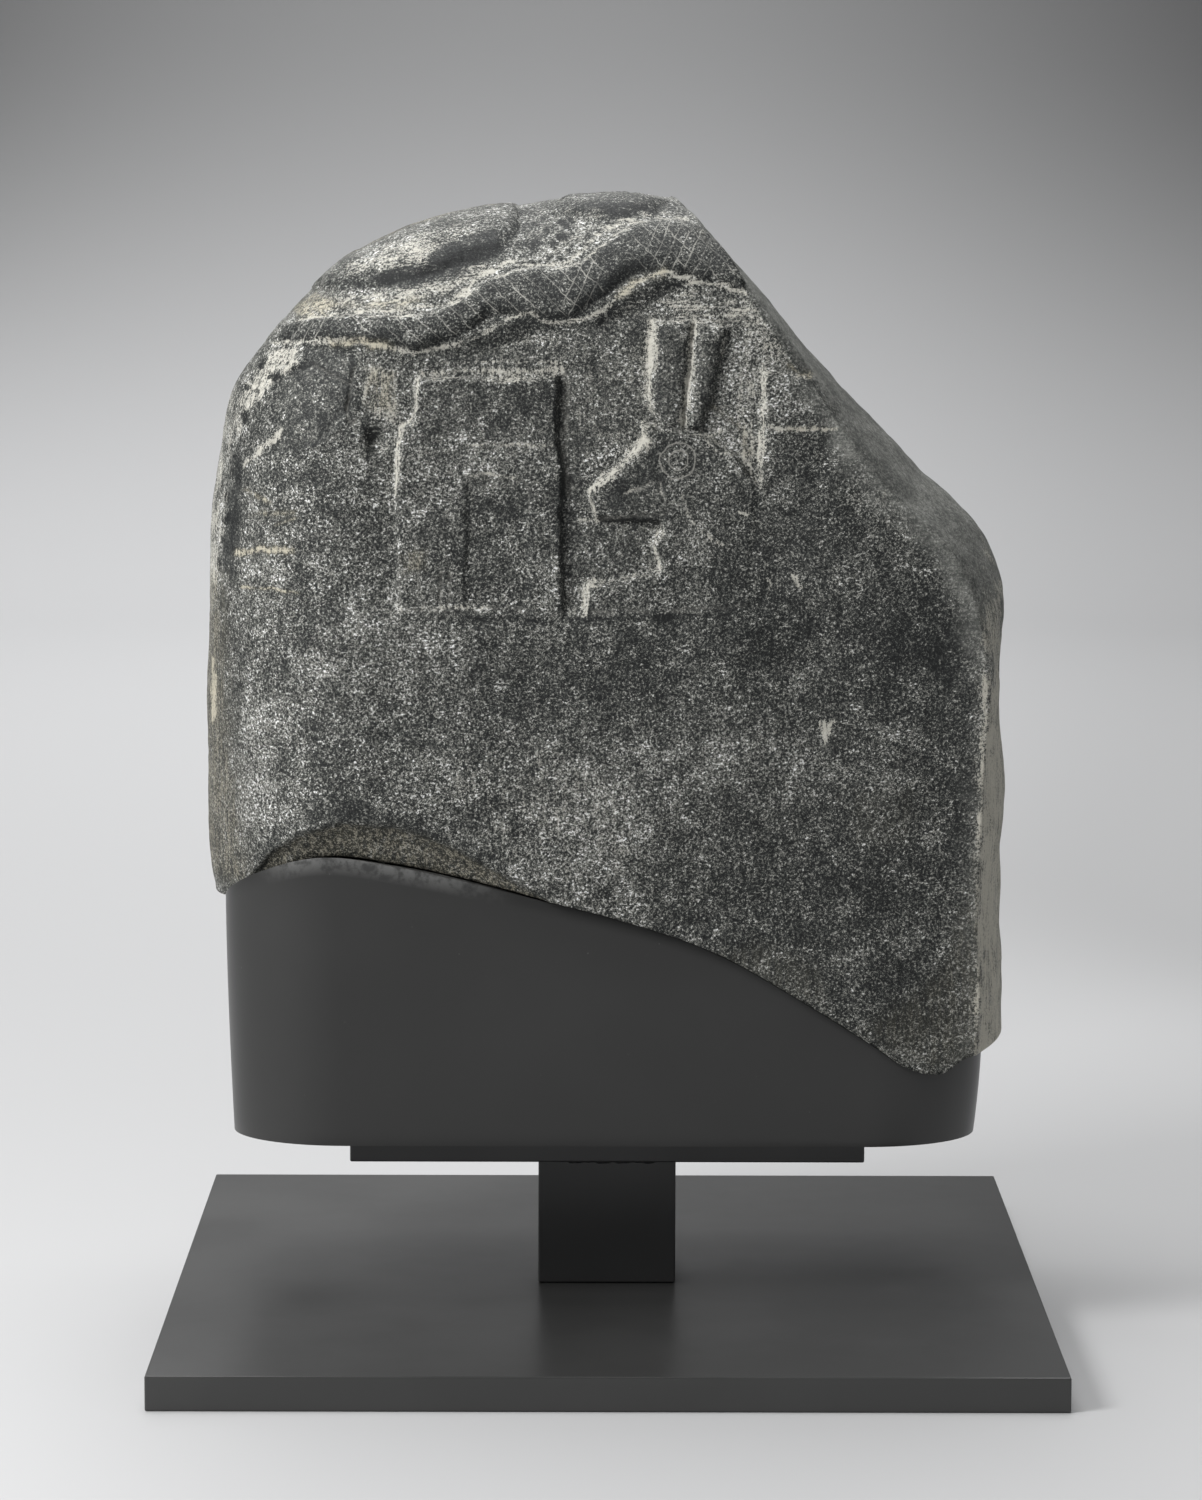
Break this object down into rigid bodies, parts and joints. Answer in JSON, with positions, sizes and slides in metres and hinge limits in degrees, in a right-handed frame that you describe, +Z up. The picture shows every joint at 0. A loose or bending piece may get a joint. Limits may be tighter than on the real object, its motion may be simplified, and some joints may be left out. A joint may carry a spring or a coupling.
{
  "type": "carved boundary stone fragment on a mount",
  "caption": "Broken upper part of a dark stone boundary marker carved in low relief with a snake, a shrine and an animal head, held by a painted steel cradle on a post and a square foot plate.",
  "frame": {"origin": "centre of the foot plate's underside", "axes": "+Z up, the carved face looks along -Y, +X to the right as seen from the front"},
  "size_m": [0.32, 0.32, 0.4168],
  "materials": {
    "stone": "fine-grained charcoal stone, worn smooth on the carved face, pale at the edges",
    "mount_paint": "dark grey satin paint",
    "post_paint": "dark grey satin paint"
  },
  "bodies": {
    "root": {"boundary_stone": "stone", "cradle": "mount_paint", "bearing_plate": "mount_paint", "post": "post_paint", "base_plate": "mount_paint"}
  },
  "joints": []
}
